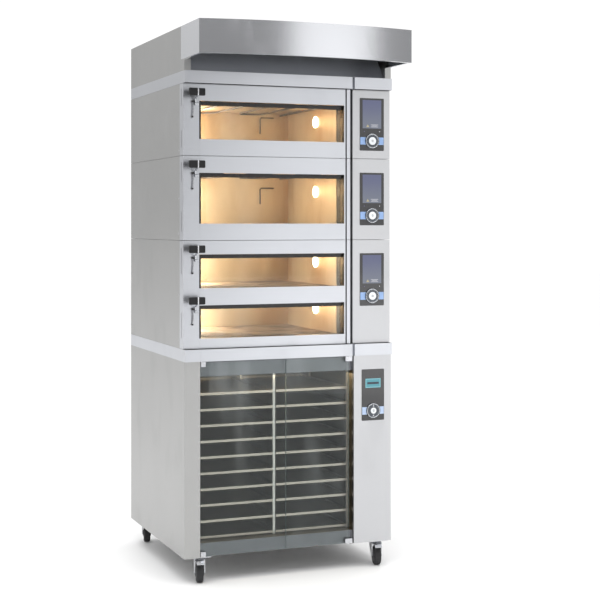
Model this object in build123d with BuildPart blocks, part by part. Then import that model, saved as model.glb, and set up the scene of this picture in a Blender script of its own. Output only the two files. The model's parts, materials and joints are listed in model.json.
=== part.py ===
"""Bakery deck oven: an extractor hood, three oven decks with four baking chambers,
and a proofing cabinet with glass doors, on a frame with four swivel casters.

Millimetres, +Z up. The origin is the centre of the footprint on the floor.
The front faces -Y and +X is to the right of somebody who stands in front.
"""

import os
from math import cos, radians, sin

from build123d import *

# ---------------------------------------------------------------- overall sizes
width = 930.0
body_depth = 849.0
hood_overhang = 253.0  # from the front plane to the middle of the bowed canopy
hood_bow = 51.0  # how much further the canopy reaches in the middle than at its ends
caster_height = 105.0
prover_height = 804.0
band_height = 50.0
deck_heights = {"deck_3": 445.0, "deck_2": 348.0, "deck_1": 296.5}  # from the bottom up
hood_height = 185.0
sheet = 1.5  # thickness of the folded steel sheet
seam = 1.0  # open joint between stacked cabinets

# ---------------------------------------------------------------- front layout, from the left side
post_width = 68.0
fascia_right = 722.0
window_right = 716.0
narrow_post = (728.0, 744.0)
column_left = 755.0
mouth_recess = 51.0  # from the deck fronts back to the casings

# ---------------------------------------------------------------- front planes, from the front plane
band_front = -11.0
prover_front = 0.0
deck_front_plane = 13.0
casing_front = deck_front_plane + mouth_recess
canopy_back = 46.0

# ---------------------------------------------------------------- baking chambers
throat_end = 93.5
chamber_front = 94.0
chamber_depth = 579.0
chamber_left = 70.0
chamber_right = 714.0
head_room = 8.0  # from the window's top edge to the chamber ceiling
sole_drop = 4.0  # from the window's bottom edge down to the stone
stone_thickness = 16.0
element_room = 14.0  # under the stone
element_radius = 4.0
lamp_y = 325.0
lamp_radius = 24.0
lamp_body_radius = 16.0
# name: (deck, window bottom above the deck's bottom, window height, grip above the window's top)
chambers = {
    "1": ("deck_1", 68.6, 157.4, 31.5),
    "2": ("deck_2", 69.5, 208.5, 33.5),
    "3": ("deck_3", 249.0, 139.0, 22.5),
    "4": ("deck_3", 43.0, 135.6, 22.0),
}

# ---------------------------------------------------------------- chamber doors, handles and levers
door_plane = 38.0  # shaft axis behind the front plane
door_shaft_drop = 9.0  # shaft axis under the window's top edge
door_shaft_radius = 5.0
running_clearance = 0.05
carrier_size = (14.0, 16.0)
pane_thickness = 6.0
pane_side_gap = 4.0
pane_bottom_gap = 2.0
grip_size = (69.0, 14.0, 31.0)
grip_round = 5.0
grip_left = 10.0
grip_y = -33.5
arm_x = 48.0
arm_thickness = 5.0
handle_drop = 45.0  # pivot under the grip's centre
handle_y = 3.0
hub_radius = 7.5
handle_pin_radius = 3.0
lever_x = 39.0
lever_drop = 36.0  # lever pivot under the grip's centre
lever_length = 63.0
lever_y = 6.0
lever_rod_radius = 2.4
lever_pin_radius = 3.0

# ---------------------------------------------------------------- control panels
bezel_size = (113.0, 226.0)
prover_bezel_size = (105.0, 220.0)
bezel_left = 789.0
prover_bezel_left = 792.0
bezel_thickness = 2.0
housing_margin = 6.0
housing_depth = 36.0
housing_clearance = 0.5
display_size = (88.0, 122.0)
prover_display_size = (72.0, 40.0)
display_thickness = 1.0
display_drop = 8.0
prover_display_drop = 40.0
dial_height = 42.0  # dial centre above the bezel's bottom edge
dial_radius = 32.5
dial_thickness = 4.7
dial_gap = 0.3
dial_shaft_radius = 6.0
button_radius = 16.9
prover_button_radius = 13.0
button_travel = 1.6
stem_radius = 3.0
# bezel bottom above the bottom of its own cabinet
bezel_bottoms = {"deck_1": 35.0, "deck_2": 62.0, "deck_3": 161.0, "prover": 523.0}
dial_shaft_length = 18.0
dial_edge_round = 1.2
recess_depth = 2.7
recess_clearance = 0.3
stem_hollow_clearance = 0.4
button_thickness = 2.5
button_gap = 0.6  # between a released button and its stop
button_edge_round = 0.8
button_stem_length = 28.0
dial_bore_depth = 22.0
stem_bore_depth = 34.0

# ---------------------------------------------------------------- proofing cabinet
face_plane = 20.0  # the steel strips behind the glass doors
prover_mouth_bottom = 55.0  # above the cabinet's bottom
prover_mouth_top = 740.0
prover_chamber = (73.5, 755.5)
prover_chamber_depth = 680.0
door_glass = (4.0, 10.0)
door_meeting = 446.0
door_gap = 1.0
left_hinge = 79.0
right_hinge = 745.0
right_glass_edge = 734.0
shoe_height = 18.0
shoe_width = 24.0
shoe_thickness = 13.0
hinge_pin_radius = 4.0
hinge_tab = 2.0
tray_size = (325.0, 530.0, 10.0)
tray_sheet = 1.5
tray_lefts = (84.0, 424.0)
tray_front = 65.0
tray_levels = 10
tray_pitch = 66.0
first_tray = 62.0  # lowest tray above the cabinet's bottom
ledge_thickness = 2.0
ledge_overlap = 8.0
upright_size = 11.0

# ---------------------------------------------------------------- frame and casters
frame_tube = 30.0
frame_inset = 20.0
plate_size = (90.0, 80.0, 4.0)
gusset_size = (110.0, 100.0)
front_casters = (80.0, width - 50.0, 54.0)
rear_casters = (58.0, width - 58.0, body_depth - 69.0)
caster_turn = 13.0  # degrees that the casters are swivelled
caster_trail = 28.0
wheel_radius = 40.0
wheel_width = 30.0
axle_radius = 5.0
kingpin_radius = 6.0
race_radius = 26.0
race_thickness = 5.0
fork_sheet = 3.5
fork_gap = 19.0  # inner face of a fork leg from the wheel's middle
pedal_width = 30.0
pedal_pin_radius = 2.5

# ---------------------------------------------------------------- hood
lip_height = 48.0  # canopy's lower edge above the hood's bottom
cheek_width = 28.0
canopy_lip = 15.0
outlet_radius = 75.0
outlet_collar = 26.5
fan_radius = 110.0
fan_height = 60.0
fan_blades = 14
fan_shaft_radius = 5.0
baffle_rise = 100.0
baffle_depth = 86.0

# ---------------------------------------------------------------- derived places
left = -width / 2
front = hood_overhang - (body_depth + hood_overhang) / 2
prover_bottom = caster_height
lower_band_bottom = prover_bottom + prover_height
deck_bottoms = {}
level = lower_band_bottom + band_height
for deck_name, deck_height in deck_heights.items():
    deck_bottoms[deck_name] = level
    level += deck_height
upper_band_bottom = level
hood_bottom = upper_band_bottom + band_height
hood_top = hood_bottom + hood_height
chamber_back = chamber_front + chamber_depth


def across(start, end):
    """X span given from the left side of the oven."""
    return left + start, left + end


def deep(start, end):
    """Y span given from the front plane, positive to the rear."""
    return front + start, front + end


def block(x_span, y_span, z_span, mode=Mode.ADD):
    """Rectangular block between three pairs of planes, in the part being built."""
    spans = (x_span, y_span, z_span)
    centre = tuple((low + high) / 2 for low, high in spans)
    lengths = [high - low for low, high in spans]
    with Locations(centre):
        Box(*lengths, mode=mode)


def rod(centre, axis, radius, length, mode=Mode.ADD):
    """Round bar that starts at centre and runs along axis."""
    with BuildSketch(Plane(origin=centre, z_dir=axis)) as section:
        Circle(radius)
    extrude(section.sketch, amount=length, mode=mode)


def tube_box(x_span, y_span, z_span, wall):
    """Rectangular sleeve that is open at its front and back."""
    block(x_span, y_span, z_span)
    inner_x = (x_span[0] + wall, x_span[1] - wall)
    inner_z = (z_span[0] + wall, z_span[1] - wall)
    block(inner_x, (y_span[0] - 1, y_span[1] + 1), inner_z, Mode.SUBTRACT)


def save(built, label):
    """Label a finished piece and write it as one STEP file."""
    built.part.label = label
    export_step(built.part, f"parts/{label}.step")


def window_span(chamber):
    """Bottom and top of a chamber's window above the floor."""
    deck, bottom, height, _ = chambers[chamber]
    low = deck_bottoms[deck] + bottom
    return low, low + height


def grip_height(chamber):
    """Height of a handle grip's centre above the floor."""
    return window_span(chamber)[1] + chambers[chamber][3]


def deck_chambers(deck):
    """Names of the chambers in one deck."""
    return [name for name, values in chambers.items() if values[0] == deck]


def liner_span(chamber):
    """Inside of a chamber from its steel floor to its ceiling."""
    low, high = window_span(chamber)
    return low - sole_drop - stone_thickness - element_room, high + head_room


os.makedirs("parts", exist_ok=True)

# ================================================================ frame and casters
frame_z = (prover_bottom, prover_bottom + frame_tube)
frame_x = (frame_inset, width - frame_inset)
frame_y = (face_plane + sheet, body_depth - frame_inset)
caster_spots = {
    "front_left": (front_casters[0], front_casters[2], -1),
    "front_right": (front_casters[1], front_casters[2], -1),
    "rear_left": (rear_casters[0], rear_casters[2], 1),
    "rear_right": (rear_casters[1], rear_casters[2], 1),
}

with BuildPart() as base_frame:
    block(across(*frame_x), deep(*frame_y), frame_z)
    block(
        across(frame_x[0] + frame_tube, frame_x[1] - frame_tube),
        deep(frame_y[0] + frame_tube, frame_y[1] - frame_tube),
        frame_z,
        Mode.SUBTRACT,
    )
    middle = body_depth / 2
    block(across(*frame_x), deep(middle - frame_tube / 2, middle + frame_tube / 2), frame_z)
    for spot_x, spot_y, _ in caster_spots.values():
        gusset_x = (
            max(spot_x - gusset_size[0] / 2, frame_x[0]),
            min(spot_x + gusset_size[0] / 2, frame_x[1]),
        )
        gusset_y = (spot_y - gusset_size[1] / 2, spot_y + gusset_size[1] / 2)
        gusset_y = (max(gusset_y[0], frame_y[0]), min(gusset_y[1], frame_y[1]))
        block(across(*gusset_x), deep(*gusset_y), (prover_bottom, prover_bottom + fork_sheet))
save(base_frame, "base_frame")

plate_z = (prover_bottom - plate_size[2], prover_bottom)
race_bottom = plate_z[0] - race_thickness
fork_top = race_bottom - 0.5
fork_plate_bottom = fork_top - fork_sheet
head_top = fork_plate_bottom - 0.3

with BuildPart() as caster_plates:
    for spot_x, spot_y, _ in caster_spots.values():
        with BuildSketch(Plane.XY.offset(plate_z[0])) as plate_outline:
            with Locations((left + spot_x, front + spot_y)):
                RectangleRounded(plate_size[0], plate_size[1], 8)
                with GridLocations(plate_size[0] - 22, plate_size[1] - 22, 2, 2):
                    Circle(4.5, mode=Mode.SUBTRACT)
        extrude(amount=plate_size[2])
        under = (left + spot_x, front + spot_y, plate_z[0])
        rod(under, (0, 0, -1), race_radius, race_thickness)
        rod(under, (0, 0, -1), kingpin_radius, plate_z[0] - head_top)
        rod((under[0], under[1], head_top), (0, 0, -1), kingpin_radius + 3, 2)
save(caster_plates, "caster_plates")

turn_x = (cos(radians(caster_turn)), -sin(radians(caster_turn)), 0)
pedal_y = 46.0
pedal_z = fork_top - 6


def caster_plane(spot):
    """Plane on the floor under a kingpin, with X along the axle and Y away from the wheel."""
    spot_x, spot_y, trail_side = caster_spots[spot]
    direction = tuple(-trail_side * value for value in turn_x)
    return Plane(origin=(left + spot_x, front + spot_y, 0), x_dir=direction, z_dir=(0, 0, 1))


for spot in caster_spots:
    ground = caster_plane(spot)
    side = Plane(origin=ground.origin, x_dir=ground.y_dir, z_dir=ground.x_dir)
    with BuildPart() as caster_fork:
        with BuildSketch(ground.offset(fork_plate_bottom)):
            with Locations((0, -6)):
                RectangleRounded(2 * (fork_gap + fork_sheet), 66, 6)
            Circle(kingpin_radius + running_clearance, mode=Mode.SUBTRACT)
        extrude(amount=fork_sheet)
        with BuildSketch(side.offset(fork_gap)) as leg_outline:
            with BuildLine():
                Polyline(
                    (20, fork_top),
                    (-36, fork_top),
                    (-caster_trail - 9, wheel_radius),
                    (-caster_trail, wheel_radius - 9),
                    (-caster_trail + 9, wheel_radius),
                    (20, fork_plate_bottom - 14),
                    close=True,
                )
            make_face()
            fillet(leg_outline.vertices().group_by(Axis.Z)[0], 7)
        extrude(amount=fork_sheet)
        other_leg = leg_outline.sketch.moved(Location(ground.x_dir * -(2 * fork_gap + fork_sheet)))
        extrude(other_leg, amount=fork_sheet)
        with BuildSketch(side.offset(-fork_gap - fork_sheet)):
            with Locations((-caster_trail, wheel_radius)):
                Circle(axle_radius)
        extrude(amount=2 * (fork_gap + fork_sheet))
        if spot.startswith("front"):
            for ear_start in (-pedal_width / 2 - 4, pedal_width / 2 + 0.5):
                with BuildSketch(side.offset(ear_start)):
                    with Locations((-pedal_y, pedal_z)):
                        Circle(4.5)
                    with Locations((-pedal_y + 7, pedal_z + 2)):
                        Rectangle(14, 5)
                extrude(amount=3.5)
            with BuildSketch(side.offset(-pedal_width / 2 - 3)):
                with Locations((-pedal_y, pedal_z)):
                    Circle(pedal_pin_radius)
            extrude(amount=pedal_width + 6)
    save(caster_fork, f"caster_fork_{spot}")

    with BuildPart() as caster_wheel:
        with BuildSketch(side.offset(-wheel_width / 2)):
            with Locations((-caster_trail, wheel_radius)):
                Circle(wheel_radius)
        extrude(amount=wheel_width)
        rims = caster_wheel.edges().filter_by(GeomType.CIRCLE)
        fillet(rims, 7)
        with BuildSketch(side.offset(-fork_gap + 0.6)):
            with Locations((-caster_trail, wheel_radius)):
                Circle(14)
        extrude(amount=2 * (fork_gap - 0.6))
        with BuildSketch(side.offset(-fork_gap)):
            with Locations((-caster_trail, wheel_radius)):
                Circle(axle_radius + running_clearance)
        extrude(amount=2 * fork_gap, mode=Mode.SUBTRACT)
    save(caster_wheel, f"caster_wheel_{spot}")

for spot in ("front_left", "front_right"):
    ground = caster_plane(spot)
    side = Plane(origin=ground.origin, x_dir=ground.y_dir, z_dir=ground.x_dir)
    with BuildPart() as brake_pedal:
        with BuildSketch(side.offset(-pedal_width / 2)) as pedal_outline:
            with BuildLine():
                Polyline(
                    (-pedal_y + 1, pedal_z + 4.5),
                    (-pedal_y - 14, pedal_z + 4.5),
                    (-pedal_y - 34, pedal_z - 4),
                    (-pedal_y - 33, pedal_z - 7),
                    (-pedal_y - 13, pedal_z + 1),
                    (-pedal_y + 1, pedal_z - 4.5),
                    close=True,
                )
            make_face()
            with Locations((-pedal_y, pedal_z)):
                Circle(4.5)
            with Locations((-pedal_y, pedal_z)):
                Circle(pedal_pin_radius + running_clearance, mode=Mode.SUBTRACT)
        extrude(amount=pedal_width)
    save(brake_pedal, f"brake_pedal_{spot}")

# ================================================================ proofing cabinet
prover_top = lower_band_bottom
mouth_z = (prover_bottom + prover_mouth_bottom, prover_bottom + prover_mouth_top)
prover_back = face_plane + sheet + prover_chamber_depth
skirt_top = prover_bottom + frame_tube
compartment_x = (column_left + 25, width - 15)

with BuildPart() as prover_cabinet:
    block(across(0, width), deep(0, body_depth), (prover_bottom, prover_top))
    # hollow from the face plate to the rear wall
    block(
        across(sheet, width - sheet),
        deep(face_plane + sheet, body_depth - sheet),
        (skirt_top + sheet, prover_top - sheet),
        Mode.SUBTRACT,
    )
    # room for the base frame between the skirts
    block(
        across(sheet, width - sheet),
        deep(face_plane + sheet, body_depth - sheet),
        (prover_bottom - 1, skirt_top),
        Mode.SUBTRACT,
    )
    # in front of the face plate
    block(
        across(post_width, width + 1),
        deep(-1, face_plane),
        (prover_bottom - 1, prover_top + 1),
        Mode.SUBTRACT,
    )
    block(
        across(sheet, post_width - sheet),
        deep(sheet, face_plane),
        (prover_bottom - 1, prover_top - sheet),
        Mode.SUBTRACT,
    )
    block(across(*prover_chamber), deep(0, prover_back), mouth_z, Mode.SUBTRACT)
    block(
        across(*compartment_x),
        deep(0, face_plane + 5),
        (mouth_z[0] + 30, mouth_z[1]),
        Mode.SUBTRACT,
    )
    for hinge_x in (left_hinge, right_hinge):
        tab_x = (hinge_x - 7, hinge_x + 7)
        glass_middle = sum(door_glass) / 2
        block(across(*tab_x), deep(1, face_plane), (prover_bottom, prover_bottom + hinge_tab))
        block(across(*tab_x), deep(1, face_plane), (prover_top - hinge_tab, prover_top))
        pin_foot = (left + hinge_x, front + glass_middle, prover_bottom + hinge_tab)
        rod(pin_foot, (0, 0, 1), hinge_pin_radius, 14)
        pin_head = (left + hinge_x, front + glass_middle, prover_top - hinge_tab)
        rod(pin_head, (0, 0, -1), hinge_pin_radius, 14)
save(prover_cabinet, "prover_cabinet")

with BuildPart() as prover_liner:
    block(
        across(prover_chamber[0] - sheet, prover_chamber[1] + sheet),
        deep(face_plane + sheet, prover_back + sheet),
        (mouth_z[0] - sheet, mouth_z[1] + sheet),
    )
    block(across(*prover_chamber), deep(face_plane - 1, prover_back), mouth_z, Mode.SUBTRACT)
save(prover_liner, "prover_liner")

tray_bottoms = [prover_bottom + first_tray + tray_pitch * step for step in range(tray_levels)]
rack_y = (tray_front + 10, tray_front + tray_size[1] - 5)
upright_ys = (tray_front + 5, tray_front + 430)
centre_gap = (tray_lefts[0] + tray_size[0], tray_lefts[1])
ladder_ledges = (
    (prover_chamber[0], tray_lefts[0] + ledge_overlap),
    (centre_gap[0] - ledge_overlap, centre_gap[1] + ledge_overlap),
    (tray_lefts[1] + tray_size[0] - ledge_overlap, prover_chamber[1]),
)
ladder_uprights = (
    (prover_chamber[0], prover_chamber[0] + upright_size / 2),
    (centre_gap[0] + 2, centre_gap[1] - 2),
    (prover_chamber[1] - upright_size / 2, prover_chamber[1]),
)

with BuildPart() as tray_rack:
    for ledge_x, upright_x in zip(ladder_ledges, ladder_uprights):
        for upright_y in upright_ys:
            block(across(*upright_x), deep(upright_y, upright_y + upright_size), mouth_z)
        for bottom in tray_bottoms:
            block(across(*ledge_x), deep(*rack_y), (bottom - ledge_thickness, bottom))
save(tray_rack, "tray_rack")

with BuildPart() as proofing_trays:
    for tray_left in tray_lefts:
        for bottom in tray_bottoms:
            tray_x = (tray_left, tray_left + tray_size[0])
            tray_y = (tray_front, tray_front + tray_size[1])
            block(across(*tray_x), deep(*tray_y), (bottom, bottom + tray_size[2]))
            block(
                across(tray_x[0] + tray_sheet, tray_x[1] - tray_sheet),
                deep(tray_y[0] + tray_sheet, tray_y[1] - tray_sheet),
                (bottom + tray_sheet, bottom + tray_size[2] + 1),
                Mode.SUBTRACT,
            )
save(proofing_trays, "proofing_trays")

tank_y = (tray_front + tray_size[1] + 15, prover_back)
with BuildPart() as humidifier:
    block(across(220, 610), deep(*tank_y), (mouth_z[0], mouth_z[0] + 70))
    fillet(humidifier.edges().filter_by(Axis.Z), 6)
    block(
        across(228, 602),
        deep(tank_y[0] + 8, tank_y[1] - 8),
        (mouth_z[0] + 6, mouth_z[0] + 71),
        Mode.SUBTRACT,
    )
    for element_y in (tank_y[0] + 26, tank_y[0] + 50):
        rod((left + 227, front + element_y, mouth_z[0] + 22), (1, 0, 0), 5, 376)
save(humidifier, "humidifier")

glass_z = (prover_bottom + hinge_tab + 3, prover_top - hinge_tab - 3)
shoe_z = (
    (prover_bottom + hinge_tab + 0.5, glass_z[0] + shoe_height),
    (glass_z[1] - shoe_height, prover_top - hinge_tab - 0.5),
)
glass_middle = sum(door_glass) / 2
prover_doors = {
    "left": ((post_width + 2, door_meeting - door_gap), left_hinge, -1),
    "right": ((door_meeting + door_gap, right_glass_edge), right_hinge, 1),
}
for hand, (glass_x, hinge_x, outward) in prover_doors.items():
    if outward < 0:
        shoe_x = (glass_x[0], glass_x[0] + shoe_width)
    else:
        shoe_x = (glass_x[1] - shoe_width + 6, hinge_x + 6)
    with BuildPart() as prover_door:
        block(across(*glass_x), deep(*door_glass), glass_z)
        for low, high in shoe_z:
            block(across(*shoe_x), deep(*door_glass), (low - 5, high), Mode.SUBTRACT)
            if high > prover_top - 10:
                block(across(*shoe_x), deep(*door_glass), (low, high + 5), Mode.SUBTRACT)
        edges_to_break = prover_door.edges().filter_by(Axis.Z)
        chamfer(edges_to_break, 0.6)
    save(prover_door, f"prover_door_{hand}")

    with BuildPart() as hinge_shoes:
        for low, high in shoe_z:
            with BuildSketch(Plane.XY.offset(low)):
                middle_x = left + sum(shoe_x) / 2
                with Locations((middle_x, front + glass_middle)):
                    RectangleRounded(shoe_x[1] - shoe_x[0], shoe_thickness, 4)
            extrude(amount=high - low)
        rod(
            (left + hinge_x, front + glass_middle, prover_bottom),
            (0, 0, 1),
            hinge_pin_radius + running_clearance,
            hinge_tab + 15,
            Mode.SUBTRACT,
        )
        rod(
            (left + hinge_x, front + glass_middle, prover_top),
            (0, 0, -1),
            hinge_pin_radius + running_clearance,
            hinge_tab + 15,
            Mode.SUBTRACT,
        )
    save(hinge_shoes, f"hinge_shoes_{hand}")

# ================================================================ oven decks
liner_x = (chamber_left - sheet, chamber_right + sheet)
throat_x = (post_width - sheet, window_right + sheet)
lamp_heights = {}
for chamber in chambers:
    low, high = window_span(chamber)
    lamp_heights[chamber] = low + 0.68 * (high - low)

for deck, height in deck_heights.items():
    deck_z = (deck_bottoms[deck] + seam / 2, deck_bottoms[deck] + height - seam / 2)
    with BuildPart() as deck_casing:
        block(across(0, width), deep(casing_front, body_depth), deck_z)
        block(
            across(sheet, width - sheet),
            deep(casing_front + sheet, body_depth - sheet),
            (deck_z[0] + sheet, deck_z[1] - sheet),
            Mode.SUBTRACT,
        )
        for chamber in deck_chambers(deck):
            low, high = window_span(chamber)
            block(
                across(throat_x[0] - 1, throat_x[1] + 1),
                deep(casing_front - 1, casing_front + sheet + 1),
                (low - sole_drop - sheet - 1, high + head_room + sheet + 1),
                Mode.SUBTRACT,
            )
        block(
            across(*compartment_x),
            deep(casing_front - 1, casing_front + sheet + 1),
            (deck_z[0] + 20, deck_z[1] - 20),
            Mode.SUBTRACT,
        )
    save(deck_casing, f"{deck}_casing")

with BuildPart() as insulation:
    for deck, height in deck_heights.items():
        wool_z = (deck_bottoms[deck] + 2.5, deck_bottoms[deck] + height - 2.5)
        block(across(2, column_left + 5), deep(casing_front + 2, body_depth - 2), wool_z)
        for chamber in deck_chambers(deck):
            low, high = liner_span(chamber)
            block(
                across(throat_x[0] - 1, throat_x[1] + 1),
                deep(casing_front, chamber_back + sheet + 0.5),
                (low - sheet - 0.5, high + sheet + 0.5),
                Mode.SUBTRACT,
            )
            lamp_start = (left + chamber_right, front + lamp_y, lamp_heights[chamber])
            rod(lamp_start, (1, 0, 0), lamp_body_radius + 1, 50, Mode.SUBTRACT)
save(insulation, "insulation")

with BuildPart() as chamber_liners:
    for chamber in chambers:
        low, high = liner_span(chamber)
        block(
            across(*liner_x),
            deep(chamber_front, chamber_back + sheet),
            (low - sheet, high + sheet),
        )
        block(
            across(chamber_left, chamber_right),
            deep(chamber_front - 1, chamber_back),
            (low, high),
            Mode.SUBTRACT,
        )
        stone_bottom = low + element_room
        for ledge in ((chamber_left, chamber_left + 8), (chamber_right - 8, chamber_right)):
            block(
                across(*ledge),
                deep(chamber_front + 2, chamber_back),
                (stone_bottom - 2, stone_bottom),
            )
        lamp_start = (left + chamber_right - 1, front + lamp_y, lamp_heights[chamber])
        rod(lamp_start, (1, 0, 0), lamp_body_radius + 0.5, 5, Mode.SUBTRACT)
save(chamber_liners, "chamber_liners")

with BuildPart() as baking_stones:
    for chamber in chambers:
        stone_bottom = liner_span(chamber)[0] + element_room
        block(
            across(chamber_left + 1, chamber_right - 1),
            deep(chamber_front + 1, chamber_back - 1),
            (stone_bottom, stone_bottom + stone_thickness),
        )
save(baking_stones, "baking_stones")

element_x = (chamber_left + 40, chamber_right - 40)
element_y = (chamber_front + 30, chamber_back)
runs = 6
element_step = (element_x[1] - element_x[0]) / (runs - 1)
element_bend = element_step / 2 - 0.5

with BuildPart() as heating_elements:
    for chamber in chambers:
        low, high = liner_span(chamber)
        for element_z in (low + element_radius + 1, high - element_radius - 2):
            corners = []
            for run in range(runs):
                run_x = left + element_x[0] + run * element_step
                near = (run_x, front + element_y[0])
                far_y = element_y[1] if run in (0, runs - 1) else element_y[1] - 30
                far = (run_x, front + far_y)
                corners += [far, near] if run % 2 == 0 else [near, far]
            with BuildLine(Plane.XY.offset(element_z)) as element_path:
                FilletPolyline(*corners, radius=element_bend)
            start = element_path.line @ 0
            heading = element_path.line % 0
            with BuildSketch(Plane(origin=start, z_dir=heading)) as element_section:
                Circle(element_radius)
            sweep(element_section.sketch, path=element_path.line)
save(heating_elements, "heating_elements")

with BuildPart() as oven_lamps:
    for chamber in chambers:
        lens_start = (left + chamber_right, front + lamp_y, lamp_heights[chamber])
        rod(lens_start, (-1, 0, 0), lamp_radius, 6)
        rod(lens_start, (1, 0, 0), lamp_body_radius, 34)
save(oven_lamps, "oven_lamps")

slot_width = 4.0
slot_y = deck_front_plane + 28
for deck, height in deck_heights.items():
    bottom = deck_bottoms[deck]
    deck_z = (bottom + seam, bottom + height - seam)
    plate_y = (deck_front_plane, deck_front_plane + sheet)
    with BuildPart() as deck_front:
        # post and fascia
        block(across(0, fascia_right), deep(*plate_y), deck_z)
        block(across(0, sheet), deep(deck_front_plane, casing_front), deck_z)
        # narrow post, joined by the strip behind the dark joint
        block(across(*narrow_post), deep(deck_front_plane, casing_front), deck_z)
        block(
            across(narrow_post[0] + sheet, narrow_post[1] - sheet),
            deep(deck_front_plane + sheet, casing_front - sheet),
            (deck_z[0] - 1, deck_z[1] + 1),
            Mode.SUBTRACT,
        )
        block(
            across(window_right, narrow_post[1]),
            deep(casing_front - sheet, casing_front),
            deck_z,
        )
        block(
            across(window_right, window_right + sheet),
            deep(deck_front_plane, casing_front),
            deck_z,
        )
        for chamber in deck_chambers(deck):
            low, high = window_span(chamber)
            tube_box(
                across(*throat_x),
                deep(deck_front_plane, throat_end),
                (low - sole_drop + 1 - sheet, high + head_room - 1 + sheet),
                sheet,
            )
        for chamber in deck_chambers(deck):
            low, high = window_span(chamber)
            # the throat stands behind the fascia, so only the window is cut through it
            block(across(0, fascia_right), deep(*plate_y), (low - 8, high + 12))
            block(
                across(post_width, window_right),
                deep(deck_front_plane - 1, deck_front_plane + sheet),
                (low, high),
                Mode.SUBTRACT,
            )
            shaft_z = high - door_shaft_drop
            rod(
                (left + throat_x[0] - 1, front + door_plane, shaft_z),
                (1, 0, 0),
                door_shaft_radius + running_clearance,
                throat_x[1] - throat_x[0] + 2,
                Mode.SUBTRACT,
            )
            pivot_z = grip_height(chamber) - handle_drop
            bracket_x = arm_x + arm_thickness / 2 + 1
            bracket_start = (left + bracket_x, front + handle_y, pivot_z)
            rod(bracket_start, (1, 0, 0), hub_radius - 1.5, 9)
            block(
                across(bracket_x, bracket_x + 9),
                deep(handle_y, deck_front_plane),
                (pivot_z - 4, pivot_z + 4),
            )
            rod(bracket_start, (-1, 0, 0), handle_pin_radius, arm_thickness + 1.5)
            lever_pin = (left + lever_x, front + deck_front_plane - 1, grip_height(chamber) - lever_drop)
            rod(lever_pin, (0, 1, 0), lever_pin_radius, 4, Mode.SUBTRACT)
        # vertical vent slots in the side of the post
        slot_margin = 0.07 * height
        slot_length = 0.24 * height
        slot_places = (
            bottom + slot_margin + slot_length / 2 + 12,
            bottom + height - slot_margin - slot_length / 2,
        )
        for slot_z in slot_places:
            with BuildSketch(Plane(origin=(left - 1, front + slot_y, slot_z), z_dir=(1, 0, 0))):
                SlotOverall(slot_length, slot_width, rotation=0)
            extrude(amount=4, mode=Mode.SUBTRACT)
        # fine joint between post and fascia
        block(
            across(post_width - 0.8, post_width),
            deep(deck_front_plane - 1, deck_front_plane + 0.7),
            (deck_z[0] - 1, deck_z[1] + 1),
            Mode.SUBTRACT,
        )
    save(deck_front, f"{deck}_front")

for chamber in chambers:
    low, high = window_span(chamber)
    shaft_z = high - door_shaft_drop
    carrier_x = (post_width + 1, window_right - 1)
    with BuildPart() as oven_door:
        pane_top = shaft_z - carrier_size[1] / 2
        block(
            across(post_width + pane_side_gap, window_right - pane_side_gap),
            deep(door_plane - pane_thickness / 2, door_plane + pane_thickness / 2),
            (low + pane_bottom_gap, pane_top),
        )
        block(
            across(*carrier_x),
            deep(door_plane - carrier_size[0] / 2, door_plane + carrier_size[0] / 2),
            (pane_top, pane_top + carrier_size[1]),
        )
        rod(
            (left + throat_x[0], front + door_plane, shaft_z),
            (1, 0, 0),
            door_shaft_radius,
            throat_x[1] - throat_x[0],
        )
    save(oven_door, f"oven_door_{chamber}")

    grip_z = grip_height(chamber)
    pivot_z = grip_z - handle_drop
    with BuildPart() as door_handle:
        block(
            across(grip_left, grip_left + grip_size[0]),
            deep(grip_y - grip_size[1] / 2, grip_y + grip_size[1] / 2),
            (grip_z - grip_size[2] / 2, grip_z + grip_size[2] / 2),
        )
        fillet(door_handle.edges(), grip_round)
        arm_plane = Plane(
            origin=(left + arm_x - arm_thickness / 2, front, 0), x_dir=(0, 1, 0), z_dir=(1, 0, 0)
        )
        with BuildSketch(arm_plane):
            with BuildLine():
                Polyline(
                    (handle_y - 5, pivot_z),
                    (handle_y - 7, pivot_z + 18),
                    (grip_y - 3, grip_z - 10),
                    (grip_y + 7, grip_z - 8),
                    (handle_y + 1, pivot_z + 20),
                    (handle_y + 5, pivot_z),
                    close=True,
                )
            make_face()
            with Locations((handle_y, pivot_z)):
                Circle(hub_radius)
        extrude(amount=arm_thickness)
        rod(
            (left + arm_x - 10, front + handle_y, pivot_z),
            (1, 0, 0),
            handle_pin_radius + running_clearance,
            20,
            Mode.SUBTRACT,
        )
    save(door_handle, f"door_handle_{chamber}")

    lever_z = grip_z - lever_drop
    lever_top = (left + lever_x, front + lever_y, lever_z)
    with BuildPart() as damper_lever:
        rod((lever_top[0], lever_top[1] - 3, lever_z), (0, 1, 0), 5, 6)
        rod(
            (lever_top[0], lever_top[1] + 3, lever_z),
            (0, 1, 0),
            lever_pin_radius - running_clearance,
            12,
        )
        with BuildLine() as lever_path:
            FilletPolyline(
                lever_top,
                (lever_top[0] + 1, lever_top[1], lever_z - 0.45 * lever_length),
                (lever_top[0] - 1.5, lever_top[1], lever_z - lever_length),
                radius=30,
            )
        with BuildSketch(Plane(origin=lever_path.line @ 0, z_dir=lever_path.line % 0)) as rod_section:
            Circle(lever_rod_radius)
        sweep(rod_section.sketch, path=lever_path.line)
        with Locations((lever_top[0] - 1.5, lever_top[1], lever_z - lever_length)):
            Sphere(4)
    save(damper_lever, f"damper_lever_{chamber}")

# ================================================================ control columns
column_places = {"prover": (prover_bottom, prover_top, prover_front, face_plane)}
for deck, height in deck_heights.items():
    column_places[deck] = (deck_bottoms[deck], deck_bottoms[deck] + height, deck_front_plane, casing_front)


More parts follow.
